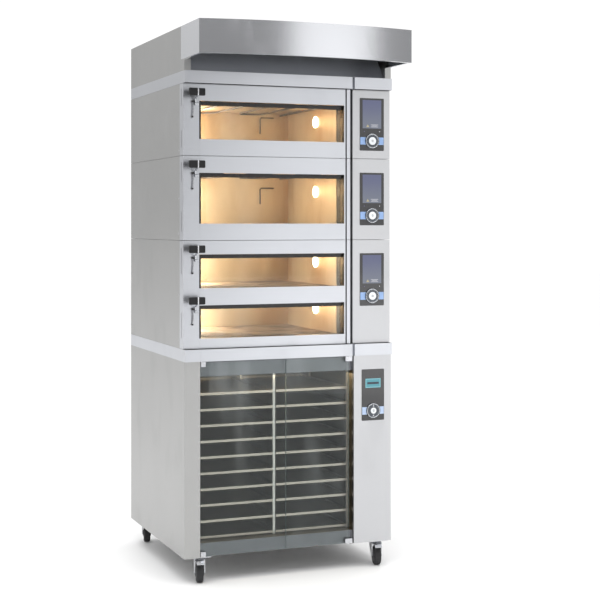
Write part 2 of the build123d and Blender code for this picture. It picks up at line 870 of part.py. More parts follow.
def bezel_place(cabinet):
    """Left edge, bottom, width and height of a cabinet's bezel, and its column's front plane."""
    is_prover = cabinet == "prover"
    bezel_width, bezel_height = prover_bezel_size if is_prover else bezel_size
    start = prover_bezel_left if is_prover else bezel_left
    bottom = column_places[cabinet][0] + bezel_bottoms[cabinet]
    return start, bottom, bezel_width, bezel_height, column_places[cabinet][2]


with BuildPart() as control_columns:
    for cabinet, (bottom, top, plane, back) in column_places.items():
        start, bezel_bottom, bezel_width, bezel_height, _ = bezel_place(cabinet)
        column_z = (bottom + seam, top - seam)
        block(across(column_left, width), deep(plane, back), column_z)
        block(
            across(column_left + sheet, width - sheet),
            deep(plane + sheet, back + 1),
            (column_z[0] - 1, column_z[1] + 1),
            Mode.SUBTRACT,
        )
        hole_margin = housing_margin - housing_clearance
        hole_x = (start + hole_margin, start + bezel_width - hole_margin)
        hole_z = (bezel_bottom + hole_margin, bezel_bottom + bezel_height - hole_margin)
        block(across(*hole_x), deep(plane - 1, plane + sheet + 1), hole_z, Mode.SUBTRACT)
save(control_columns, "control_columns")

with BuildPart() as control_bezels:
    for cabinet in column_places:
        start, bezel_bottom, bezel_width, bezel_height, plane = bezel_place(cabinet)
        middle = (start + bezel_width / 2, bezel_bottom + bezel_height / 2)
        face = Plane(
            origin=(left + middle[0], front + plane - bezel_thickness, middle[1]),
            x_dir=(1, 0, 0),
            z_dir=(0, 1, 0),
        )
        with BuildSketch(face):
            RectangleRounded(bezel_width, bezel_height, 3)
        extrude(amount=bezel_thickness)
        block(
            across(start + housing_margin, start + bezel_width - housing_margin),
            deep(plane, plane + housing_depth),
            (bezel_bottom + housing_margin, bezel_bottom + bezel_height - housing_margin),
        )
        screen = prover_display_size if cabinet == "prover" else display_size
        drop = prover_display_drop if cabinet == "prover" else display_drop
        screen_top = bezel_bottom + bezel_height - drop
        block(
            across(middle[0] - screen[0] / 2, middle[0] + screen[0] / 2),
            deep(plane - bezel_thickness - 1, plane - bezel_thickness + display_thickness),
            (screen_top - screen[1], screen_top),
            Mode.SUBTRACT,
        )
        dial_spot = (left + middle[0], front + plane - bezel_thickness - 1, bezel_bottom + dial_height)
        rod(dial_spot, (0, 1, 0), dial_shaft_radius + running_clearance, dial_bore_depth, Mode.SUBTRACT)
        rod(dial_spot, (0, 1, 0), stem_radius + running_clearance, stem_bore_depth, Mode.SUBTRACT)
save(control_bezels, "control_bezels")

with BuildPart() as displays:
    for cabinet in column_places:
        start, bezel_bottom, bezel_width, bezel_height, plane = bezel_place(cabinet)
        screen = prover_display_size if cabinet == "prover" else display_size
        drop = prover_display_drop if cabinet == "prover" else display_drop
        screen_top = bezel_bottom + bezel_height - drop
        middle_x = start + bezel_width / 2
        block(
            across(middle_x - screen[0] / 2, middle_x + screen[0] / 2),
            deep(plane - bezel_thickness, plane - bezel_thickness + display_thickness),
            (screen_top - screen[1], screen_top),
        )
save(displays, "displays")

for cabinet in column_places:
    start, bezel_bottom, bezel_width, _, plane = bezel_place(cabinet)
    disc_radius = prover_button_radius if cabinet == "prover" else button_radius
    dial_x = left + start + bezel_width / 2
    dial_z = bezel_bottom + dial_height
    dial_back = front + plane - bezel_thickness - dial_gap
    dial_front = dial_back - dial_thickness
    recess_floor = dial_front + recess_depth
    button_back = recess_floor - button_travel - button_gap
    with BuildPart() as dial:
        rod((dial_x, dial_front, dial_z), (0, 1, 0), dial_radius, dial_thickness)
        fillet(dial.edges().group_by(Axis.Y)[0], dial_edge_round)
        rod((dial_x, dial_back, dial_z), (0, 1, 0), dial_shaft_radius, dial_shaft_length)
        rod(
            (dial_x, dial_front - 1, dial_z),
            (0, 1, 0),
            disc_radius + recess_clearance,
            recess_depth + 1,
            Mode.SUBTRACT,
        )
        rod(
            (dial_x, dial_front - 1, dial_z),
            (0, 1, 0),
            stem_radius + stem_hollow_clearance,
            dial_thickness + dial_shaft_length + 2,
            Mode.SUBTRACT,
        )
    save(dial, f"dial_{cabinet}")

    with BuildPart() as dial_button:
        rod((dial_x, button_back - button_thickness, dial_z), (0, 1, 0), disc_radius, button_thickness)
        fillet(dial_button.edges().group_by(Axis.Y)[0], button_edge_round)
        rod((dial_x, button_back, dial_z), (0, 1, 0), stem_radius, button_stem_length)
    save(dial_button, f"dial_button_{cabinet}")

# ================================================================ joint bands
groove = (narrow_post[1], column_left)
with BuildPart() as joint_bands:
    for bottom in (lower_band_bottom, upper_band_bottom):
        band_z = (bottom, bottom + band_height)
        block(across(0, width), deep(band_front, body_depth), band_z)
        block(
            across(sheet, width - sheet),
            deep(band_front + sheet, body_depth - sheet),
            (band_z[0] - 1, band_z[1] + 1),
            Mode.SUBTRACT,
        )
        block(across(groove[0] - sheet, groove[1] + sheet), deep(band_front, band_front + 20), band_z)
        block(
            across(*groove),
            deep(band_front - 1, band_front + 20 - sheet),
            (band_z[0] - 1, band_z[1] + 1),
            Mode.SUBTRACT,
        )
        block(
            across(post_width - 0.8, post_width),
            deep(band_front - 1, band_front + 0.7),
            (band_z[0] - 1, band_z[1] + 1),
            Mode.SUBTRACT,
        )
save(joint_bands, "joint_bands")

# ================================================================ hood
canopy_bottom = hood_bottom + lip_height
end_front = front - hood_overhang + hood_bow
with BuildPart() as hood_body:
    block(across(0, width), deep(canopy_back, body_depth), (hood_bottom, hood_top))
    block(
        across(sheet, width - sheet),
        deep(canopy_back - 1, body_depth - sheet),
        (hood_bottom + sheet, hood_top - sheet),
        Mode.SUBTRACT,
    )
    block(across(0, width), deep(0, canopy_back), (hood_bottom, hood_bottom + sheet))
    for cheek in ((0, cheek_width), (width - cheek_width, width)):
        block(across(*cheek), deep(0, canopy_back + 20), (hood_bottom, canopy_bottom))
        inner = (cheek[0] + sheet, cheek[1] - sheet)
        block(
            across(*inner),
            deep(sheet, canopy_back + 21),
            (hood_bottom + sheet, canopy_bottom - sheet),
            Mode.SUBTRACT,
        )
    outlet = (left + width / 2, front + 0.62 * body_depth, hood_top)
    rod(outlet, (0, 0, -1), outlet_radius + sheet, outlet_collar)
    rod((outlet[0], outlet[1], hood_top + 1), (0, 0, -1), outlet_radius, outlet_collar + 2, Mode.SUBTRACT)
    fan_spot = (outlet[0], outlet[1], hood_bottom)
    rod(fan_spot, (0, 0, 1), fan_shaft_radius, 14 + fan_height / 2)
save(hood_body, "hood_body")

with BuildPart() as hood_canopy:
    with BuildSketch(Plane.XY.offset(canopy_bottom)):
        with BuildLine():
            Polyline(
                (left, end_front),
                (left, front + canopy_back),
                (left + width, front + canopy_back),
                (left + width, end_front),
            )
            ThreePointArc(
                (left, end_front),
                (0, front - hood_overhang),
                (left + width, end_front),
            )
        make_face()
    extrude(amount=hood_top - canopy_bottom)
    with BuildSketch(Plane.XY.offset(canopy_bottom + sheet)):
        with BuildLine():
            Polyline(
                (left + sheet, end_front + sheet),
                (left + sheet, front + canopy_back + 1),
                (left + width - sheet, front + canopy_back + 1),
                (left + width - sheet, end_front + sheet),
            )
            ThreePointArc(
                (left + sheet, end_front + sheet),
                (0, front - hood_overhang + sheet),
                (left + width - sheet, end_front + sheet),
            )
        make_face()
    extrude(amount=hood_top - canopy_bottom - 2 * sheet, mode=Mode.SUBTRACT)
    with BuildSketch(Plane.XY.offset(canopy_bottom - 1)):
        with BuildLine():
            Polyline(
                (left + canopy_lip, end_front + canopy_lip),
                (left + canopy_lip, front + canopy_back + 1),
                (left + width - canopy_lip, front + canopy_back + 1),
                (left + width - canopy_lip, end_front + canopy_lip),
            )
            ThreePointArc(
                (left + canopy_lip, end_front + canopy_lip),
                (0, front - hood_overhang + canopy_lip),
                (left + width - canopy_lip, end_front + canopy_lip),
            )
        make_face()
    extrude(amount=sheet + 2, mode=Mode.SUBTRACT)
save(hood_canopy, "hood_canopy")

baffle_plane = Plane(origin=(left + cheek_width + 0.5, front, 0), x_dir=(0, 1, 0), z_dir=(1, 0, 0))
with BuildPart() as hood_baffle:
    with BuildSketch(baffle_plane):
        with BuildLine():
            Polyline(
                (8, hood_bottom + sheet),
                (8 + baffle_depth, hood_bottom + sheet + baffle_rise),
                (8 + baffle_depth + 20, hood_bottom + sheet + baffle_rise),
                (8 + baffle_depth + 20, hood_bottom + sheet + baffle_rise - sheet),
                (8 + baffle_depth + 1, hood_bottom + sheet + baffle_rise - sheet),
                (8 + 2 * sheet, hood_bottom + sheet),
                close=True,
            )
        make_face()
    extrude(amount=width - 2 * cheek_width - 1)
save(hood_baffle, "hood_baffle")

fan_bottom = hood_bottom + 12
with BuildPart() as hood_fan:
    rod((outlet[0], outlet[1], fan_bottom), (0, 0, 1), fan_radius, 3)
    rod((outlet[0], outlet[1], fan_bottom), (0, 0, 1), 32, fan_height - 10)
    with BuildSketch(Plane.XY.offset(fan_bottom + 3)):
        with Locations((outlet[0], outlet[1])):
            with PolarLocations(fan_radius - 16, fan_blades):
                Rectangle(26, 3, rotation=35)
    extrude(amount=fan_height - 3)
    rod(
        (outlet[0], outlet[1], fan_bottom - 1),
        (0, 0, 1),
        fan_shaft_radius + running_clearance,
        fan_height,
        Mode.SUBTRACT,
    )
save(hood_fan, "hood_fan")
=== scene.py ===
import json
import logging
import math
from dataclasses import dataclass, field
from enum import Enum
from typing import Any, Callable

import bmesh
import bpy
from mathutils import Matrix, Vector

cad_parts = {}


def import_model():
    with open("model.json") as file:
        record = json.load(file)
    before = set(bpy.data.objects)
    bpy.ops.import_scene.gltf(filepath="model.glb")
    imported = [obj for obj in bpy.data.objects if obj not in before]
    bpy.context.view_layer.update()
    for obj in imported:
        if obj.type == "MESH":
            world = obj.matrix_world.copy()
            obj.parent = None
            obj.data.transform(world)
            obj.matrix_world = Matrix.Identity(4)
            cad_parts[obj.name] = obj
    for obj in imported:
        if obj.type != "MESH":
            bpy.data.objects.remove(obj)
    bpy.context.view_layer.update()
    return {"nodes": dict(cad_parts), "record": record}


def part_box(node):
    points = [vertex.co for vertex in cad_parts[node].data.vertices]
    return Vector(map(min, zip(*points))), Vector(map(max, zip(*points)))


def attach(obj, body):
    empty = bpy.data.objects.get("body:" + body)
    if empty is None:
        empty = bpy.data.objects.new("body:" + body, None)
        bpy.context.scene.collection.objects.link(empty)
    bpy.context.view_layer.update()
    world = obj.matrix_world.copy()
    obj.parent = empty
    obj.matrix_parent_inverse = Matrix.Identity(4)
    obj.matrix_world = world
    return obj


LOG = logging.getLogger("deck_oven")
Triple = tuple[float, float, float]
Colour = Triple
MM = 0.001
RING_STEPS = 96
RING_FACETS = 6
SCREEN_HEIGHT = 122.0 * MM
SCREEN_EDGE = 2.0 * MM
GRIP_ARM = 38.0 * MM


# ------------------------------------------------------------------ shader graph
class Signal:
    """A shader socket that ordinary arithmetic can be written with."""

    def __init__(self, graph: "Graph", socket: bpy.types.NodeSocket) -> None:
        """Wraps one output socket.

        Args:
            graph: the graph that the socket belongs to.
            socket: the output.
        """
        self.graph = graph
        self.socket = socket

    def maths(self, operation: str, first: Any, second: Any = None) -> "Signal":
        """Adds one Math node.

        Args:
            operation: Blender's name for the operation.
            first: the first operand, a Signal or a number.
            second: the second operand, where the operation has one.

        Returns:
            The node's result.
        """
        links = {0: first} if second is None else {0: first, 1: second}
        node = self.graph.add("ShaderNodeMath", {"operation": operation}, links)
        return Signal(self.graph, node.outputs[0])

    def __add__(self, other: Any) -> "Signal":
        """This plus other."""
        return self.maths("ADD", self, other)

    __radd__ = __add__

    def __sub__(self, other: Any) -> "Signal":
        """This minus other."""
        return self.maths("SUBTRACT", self, other)

    def __rsub__(self, other: Any) -> "Signal":
        """Other minus this."""
        return self.maths("SUBTRACT", other, self)

    def __mul__(self, other: Any) -> "Signal":
        """This times other."""
        return self.maths("MULTIPLY", self, other)

    __rmul__ = __mul__

    def __lt__(self, other: Any) -> "Signal":
        """1 where this is less than other, and 0 elsewhere."""
        return self.maths("LESS_THAN", self, other)

    def __abs__(self) -> "Signal":
        """This without its sign."""
        return self.maths("ABSOLUTE", self)

    def spread(self, low: float, high: float, to_low: float, to_high: float) -> "Signal":
        """This, carried smoothly from one range to another and held at its ends.

        Args:
            low: start of the range read.
            high: end of the range read.
            to_low: value given at low.
            to_high: value given at high.

        Returns:
            The mapped signal.
        """
        node = self.graph.add(
            "ShaderNodeMapRange",
            {"interpolation_type": "SMOOTHSTEP"},
            {0: self, 1: low, 2: high, 3: to_low, 4: to_high},
        )
        return Signal(self.graph, node.outputs[0])


class Graph:
    """The node tree of one material or world."""

    def __init__(self, tree: bpy.types.NodeTree) -> None:
        """Takes an existing tree and empties it."""
        self.tree = tree
        tree.nodes.clear()

    def add(
        self, kind: str, settings: dict[str, Any] | None = None, links: dict[Any, Any] | None = None
    ) -> bpy.types.Node:
        """Adds any node.

        Args:
            kind: the node's type.
            settings: attributes, set before the sockets.
            links: input name or number to a Signal, a socket or a plain value.

        Returns:
            The new node.
        """
        node = self.tree.nodes.new(kind)
        for name, value in (settings or {}).items():
            setattr(node, name, value)
        for key, value in (links or {}).items():
            if isinstance(value, Signal):
                value = value.socket
            if isinstance(value, bpy.types.NodeSocket):
                self.tree.links.new(value, node.inputs[key])
            else:
                node.inputs[key].default_value = value
        return node

    def place(self) -> bpy.types.NodeSocket:
        """The point on the piece, in the oven's own frame."""
        return self.add("ShaderNodeTexCoord").outputs["Object"]

    def axes(self) -> tuple[Signal, Signal, Signal]:
        """The same point as separate x, y and z."""
        node = self.add("ShaderNodeSeparateXYZ", links={0: self.place()})
        return tuple(Signal(self, output) for output in node.outputs)

    def noise(self, stretch: Triple, scale: float, detail: float = 3.0) -> Signal:
        """Noise over the piece.

        Args:
            stretch: how fast it changes along x, y and z.
            scale: overall fineness.
            detail: number of finer layers.

        Returns:
            The noise, from 0 to 1.
        """
        point = self.add(
            "ShaderNodeVectorMath", {"operation": "MULTIPLY"}, {0: self.place(), 1: stretch}
        )
        node = self.add(
            "ShaderNodeTexNoise",
            links={"Vector": point.outputs[0], "Scale": scale, "Detail": detail},
        )
        return Signal(self, node.outputs["Factor" if "Factor" in node.outputs else "Fac"])

    def blend(self, factor: Any, first: Any, second: Any) -> bpy.types.NodeSocket:
        """Mixes two colours.

        Args:
            factor: how much of the second.
            first: colour or socket.
            second: colour or socket.

        Returns:
            The mixed colour.
        """

        def full(colour: Any) -> Any:
            """Returns a plain colour with its alpha, and anything else as it is."""
            return (*colour, 1.0) if isinstance(colour, tuple) else colour

        node = self.add(
            "ShaderNodeMix", {"data_type": "RGBA"}, {0: factor, 6: full(first), 7: full(second)}
        )
        return node.outputs[2]

    def bump(self, height: Signal, depth: float, strength: float = 1.0) -> bpy.types.NodeSocket:
        """Adds a bump.

        Args:
            height: the height signal.
            depth: how deep a height of 1 is, in metres.
            strength: how strongly it tilts the surface.

        Returns:
            The normal.
        """
        node = self.add(
            "ShaderNodeBump", links={"Height": height, "Distance": depth, "Strength": strength}
        )
        return node.outputs[0]


def new_material(name: str) -> tuple[bpy.types.Material, Graph]:
    """Starts a material.

    Args:
        name: the finish's name.

    Returns:
        The material and its empty graph.
    """
    material = bpy.data.materials.new(name)
    material.use_nodes = True
    return material, Graph(material.node_tree)


def close_material(graph: Graph, values: dict[str, Any]) -> bpy.types.Node:
    """Ends a graph in one Principled shader.

    Args:
        graph: the material's graph.
        values: the shader's sockets.

    Returns:
        The shader.
    """
    shader = graph.add("ShaderNodeBsdfPrincipled", links=values)
    graph.add("ShaderNodeOutputMaterial", links={0: shader.outputs[0]})
    return shader


# ------------------------------------------------------------------ finishes
class Grain(Enum):
    """Which way a sheet was brushed."""

    LEVEL = (5.0, 5.0, 1400.0)
    UPRIGHT = (1400.0, 1400.0, 5.0)


@dataclass(frozen=True)
class BrushedSteel:
    """Stainless sheet with a brushed grain, faint waviness and handling marks."""

    name: str
    tint: Colour
    roughness: float = 0.3
    grain: Grain = Grain.LEVEL
    contrast: float = 0.06

    def material(self) -> bpy.types.Material:
        """Builds the finish."""
        material, graph = new_material(self.name)
        lines = graph.noise(self.grain.value, 1.0, 4.0)
        cloud = graph.noise((1.0, 1.0, 1.0), 3.2, 3.0)
        smear = graph.noise((1.0, 1.0, 0.5), 9.0, 5.0).spread(0.52, 0.72, 0.0, 1.0)
        dark = tuple(part * (1.0 - 2.2 * self.contrast) for part in self.tint)
        shade = lines * 0.6 + cloud * 0.4
        close_material(
            graph,
            {
                "Base Color": graph.blend(shade, dark, self.tint),
                "Metallic": 1.0,
                "Roughness": lines * 0.10 + smear * 0.05 + (self.roughness - 0.05),
                "Normal": graph.bump(lines * 0.7 + cloud * 6.0, 0.00004),
            },
        )
        return material


@dataclass(frozen=True)
class HeatedSteel:
    """Chamber sheet that heat has tinted in patches, with baked-on specks."""

    name: str
    pale: Colour
    tan: Colour
    roughness: float = 0.42

    def material(self) -> bpy.types.Material:
        """Builds the finish."""
        material, graph = new_material(self.name)
        cloud = graph.noise((1.0, 1.0, 0.4), 2.6, 5.0)
        specks = graph.noise((1.0, 1.0, 1.0), 160.0, 2.0).spread(0.62, 0.72, 0.0, 0.5)
        stain = cloud.spread(0.35, 0.7, 0.0, 1.0)
        colour = graph.blend(stain, self.pale, self.tan)
        close_material(
            graph,
            {
                "Base Color": graph.blend(specks, colour, (0.24, 0.14, 0.06)),
                "Metallic": 0.55,
                "Roughness": cloud * 0.2 + (self.roughness - 0.1),
                "Normal": graph.bump(cloud, 0.0006),
            },
        )
        return material


@dataclass(frozen=True)
class ZincPlate:
    """Bright plated pressing with a fine crystalline bloom."""

    name: str
    tint: Colour = (0.62, 0.63, 0.66)

    def material(self) -> bpy.types.Material:
        """Builds the finish."""
        material, graph = new_material(self.name)
        bloom = graph.noise((1.0, 1.0, 1.0), 90.0, 4.0)
        grime = graph.noise((1.0, 1.0, 1.0), 22.0, 4.0).spread(0.55, 0.75, 0.0, 0.6)
        dark = tuple(part * 0.72 for part in self.tint)
        colour = graph.blend(bloom, dark, self.tint)
        close_material(
            graph,
            {
                "Base Color": graph.blend(grime, colour, (0.16, 0.15, 0.14)),
                "Metallic": 1.0,
                "Roughness": bloom * 0.14 + grime * 0.2 + 0.18,
                "Normal": graph.bump(bloom, 0.00008),
            },
        )
        return material


@dataclass(frozen=True)
class Moulding:
    """Moulded plastic or rubber with a fine texture."""

    name: str
    tint: Colour
    roughness: float = 0.4
    texture: float = 700.0
    depth: float = 0.00005
    coat: float = 0.0

    def material(self) -> bpy.types.Material:
        """Builds the finish."""
        material, graph = new_material(self.name)
        pores = graph.noise((1.0, 1.0, 1.0), self.texture, 2.0)
        dust = graph.noise((1.0, 1.0, 1.0), 34.0, 5.0).spread(0.5, 0.8, 0.0, 0.25)
        lighter = tuple(min(1.0, part * 1.5 + 0.02) for part in self.tint)
        close_material(
            graph,
            {
                "Base Color": graph.blend(dust, self.tint, lighter),
                "Roughness": pores * 0.1 + dust * 0.3 + (self.roughness - 0.05),
                "Normal": graph.bump(pores, self.depth),
                "Coat Weight": self.coat,
            },
        )
        return material


@dataclass(frozen=True)
class GripPlastic:
    """Black grip with the steel arm showing through it as a narrow strip."""

    name: str
    arm_x: float
    half_width: float = 0.0022

    def material(self) -> bpy.types.Material:
        """Builds the finish."""
        material, graph = new_material(self.name)
        x, _, _ = graph.axes()
        strip = abs(x - self.arm_x) < self.half_width
        pores = graph.noise((1.0, 1.0, 1.0), 900.0, 2.0)
        wear = graph.noise((1.0, 1.0, 1.0), 60.0, 4.0)
        close_material(
            graph,
            {
                "Base Color": graph.blend(strip, (0.018, 0.018, 0.019), (0.72, 0.72, 0.74)),
                "Metallic": strip,
                "Roughness": wear * 0.14 + 0.26,
                "Specular IOR Level": 0.2,
                "Normal": graph.bump(pores, 0.00003),
            },
        )
        return material


@dataclass(frozen=True)
class ClearGlass:
    """Toughened pane: see-through face on, more mirror-like at a slant, with faint wiping marks."""

    name: str
    tint: Colour = (0.90, 0.92, 0.915)
    gain: float = 0.55

    def material(self) -> bpy.types.Material:
        """Builds the finish."""
        material, graph = new_material(self.name)
        slant = Signal(graph, graph.add("ShaderNodeFresnel", links={"IOR": 1.5}).outputs[0])
        wipe = graph.noise((1.0, 1.0, 0.25), 7.0, 5.0).spread(0.5, 0.75, 0.0, 0.03)
        clear = graph.add("ShaderNodeBsdfTransparent", links={0: (*self.tint, 1.0)})
        gloss = graph.add(
            "ShaderNodeBsdfPrincipled",
            links={"Base Color": (0.9, 0.94, 0.95, 1.0), "Metallic": 1.0, "Roughness": wipe + 0.02},
        )
        mixed = graph.add(
            "ShaderNodeMixShader",
            links={0: slant * self.gain + wipe, 1: clear.outputs[0], 2: gloss.outputs[0]},
        )
        graph.add("ShaderNodeOutputMaterial", links={0: mixed.outputs[0]})
        return material


@dataclass(frozen=True)
class Glow:
    """A lit surface whose colour runs from one height to another."""

    name: str
    low: Colour
    high: Colour
    strength: float
    span: tuple[float, float] = (0.0, 1.0)
    roughness: float = 0.12

    def material(self) -> bpy.types.Material:
        """Builds the finish."""
        material, graph = new_material(self.name)
        _, _, z = graph.axes()
        cells = graph.noise((1.0, 1.0, 1.0), 24.0, 3.0)
        rise = z.spread(self.span[0], self.span[1], 0.0, 1.0)
        colour = graph.blend(rise * 0.85 + cells * 0.15, self.low, self.high)
        close_material(
            graph,
            {
                "Base Color": (0.02, 0.02, 0.025, 1.0),
                "Roughness": self.roughness,
                "Emission Color": colour,
                "Emission Strength": self.strength,
            },
        )
        return material


@dataclass(frozen=True)
class FiredStone:
    """Baking slab: pale and gritty, with scorched patches and flour."""

    name: str

    def material(self) -> bpy.types.Material:
        """Builds the finish."""
        material, graph = new_material(self.name)
        grit = graph.noise((1.0, 1.0, 1.0), 420.0, 3.0)
        scorch = graph.noise((1.0, 1.0, 1.0), 11.0, 5.0).spread(0.42, 0.66, 0.0, 1.0)
        flour = graph.noise((1.0, 1.0, 1.0), 30.0, 5.0).spread(0.6, 0.75, 0.0, 0.6)
        stone = graph.blend(scorch, (0.33, 0.25, 0.17), (0.12, 0.075, 0.045))
        close_material(
            graph,
            {
                "Base Color": graph.blend(flour, stone, (0.55, 0.48, 0.38)),
                "Roughness": grit * 0.15 + 0.75,
                "Normal": graph.bump(grit + scorch * 0.6, 0.0008),
            },
        )
        return material


@dataclass(frozen=True)
class WoolSlab:
    """Mineral wool: matted yellow fibre."""

    name: str

    def material(self) -> bpy.types.Material:
        """Builds the finish."""
        material, graph = new_material(self.name)
        fibre = graph.noise((60.0, 60.0, 500.0), 1.0, 5.0)
        close_material(
            graph,
            {
                "Base Color": graph.blend(fibre, (0.32, 0.27, 0.13), (0.66, 0.6, 0.4)),
                "Roughness": fibre * 0.1 + 0.85,
                "Normal": graph.bump(fibre, 0.002),
            },
        )
        return material


# ------------------------------------------------------------------ making and dressing pieces
def dress(node: bpy.types.Object, *materials: bpy.types.Material) -> None:
    """Gives a part its finishes, the first all over.

    Args:
        node: the part.
        materials: the finishes.
    """
    node.data.materials.clear()
    for material in materials:
        node.data.materials.append(material)
    for polygon in node.data.polygons:
        polygon.material_index = 0


def smooth(mesh: bpy.types.Mesh) -> None:
    """Shades a mesh as one rounded surface.

    Args:
        mesh: the mesh.
    """
    for polygon in mesh.polygons:
        polygon.use_smooth = True


def pick(node: bpy.types.Object, index: int, wanted: Callable[[bpy.types.MeshPolygon], bool]) -> None:
    """Gives some of a part's faces another of its finishes.

    Args:
        node: the part.
        index: which finish.
        wanted: tells whether a face takes it.
    """
    for polygon in node.data.polygons:
        if wanted(polygon):
            polygon.material_index = index


def piece(
    name: str, build: Callable[[bmesh.types.BMesh], None], material: bpy.types.Material, body: str
) -> bpy.types.Object:
    """Makes one fine piece and fixes it to a body.

    Args:
        name: the piece's name.
        build: fills the mesh, in the oven's frame.
        material: its finish.
        body: the body it rides on.

    Returns:
        The new object.
    """
    mesh = bpy.data.meshes.new(name)
    shape = bmesh.new()
    build(shape)
    bmesh.ops.recalc_face_normals(shape, faces=shape.faces)
    shape.to_mesh(mesh)
    shape.free()
    mesh.materials.append(material)
    made = bpy.data.objects.new(name, mesh)
    bpy.context.scene.collection.objects.link(made)
    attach(made, body)
    LOG.info("made %s on %s", name, body)
    return made


def plate(shape: bmesh.types.BMesh, outline: list[tuple[float, float]], y: float, thick: float) -> None:
    """Adds a thin plate that faces the front.

    Args:
        shape: the mesh.
        outline: its corners as x and z.
        y: its back.
        thick: how far it stands forward of that.
    """
    back = [shape.verts.new((x, y, z)) for x, z in outline]
    front = [shape.verts.new((x, y - thick, z)) for x, z in outline]
    shape.faces.new(back)
    shape.faces.new(front[::-1])
    for i in range(len(outline)):
        j = (i + 1) % len(outline)
        shape.faces.new((back[i], back[j], front[j], front[i]))


def arc(x: float, z: float, radius: float, count: int = 64) -> list[tuple[float, float]]:
    """Works out points round a circle.

    Args:
        x: its middle, across.
        z: its middle, up.
        radius: its radius.
        count: how many points.

    Returns:
        The points as x and z.
    """
    turn = 2 * math.pi / count
    return [(x + radius * math.cos(i * turn), z + radius * math.sin(i * turn)) for i in range(count)]


def rectangle(x: float, z: float, wide: float, high: float) -> list[tuple[float, float]]:
    """Works out the corners of an upright rectangle.

    Args:
        x: its middle, across.
        z: its middle, up.
        wide: its width.
        high: its height.

    Returns:
        The corners as x and z.
    """
    return [
        (x - wide / 2, z - high / 2),
        (x + wide / 2, z - high / 2),
        (x + wide / 2, z + high / 2),
        (x - wide / 2, z + high / 2),
    ]


def ring(shape: bmesh.types.BMesh, centre: Vector, radius: float, width: float, height: float) -> None:
    """Adds a ring with a rounded face, round an axis that points to the front.

    Args:
        shape: the mesh.
        centre: middle of the ring's back.
        radius: middle of its width.
        width: across its band.
        height: how far it stands forward.
    """
    arch = [math.pi * k / RING_FACETS for k in range(RING_FACETS + 1)]
    profile = [(radius + width / 2 * math.cos(a), -height * math.sin(a)) for a in arch]
    loops = []
    for i in range(RING_STEPS):
        turn = 2 * math.pi * i / RING_STEPS
        loops.append(
            [
                shape.verts.new((centre.x + r * math.cos(turn), centre.y + d, centre.z + r * math.sin(turn)))
                for r, d in profile
            ]
        )
    for i, loop in enumerate(loops):
        following = loops[(i + 1) % len(loops)]
        for k in range(len(profile)):
            m = (k + 1) % len(profile)
            shape.faces.new((loop[k], loop[m], following[m], following[k]))


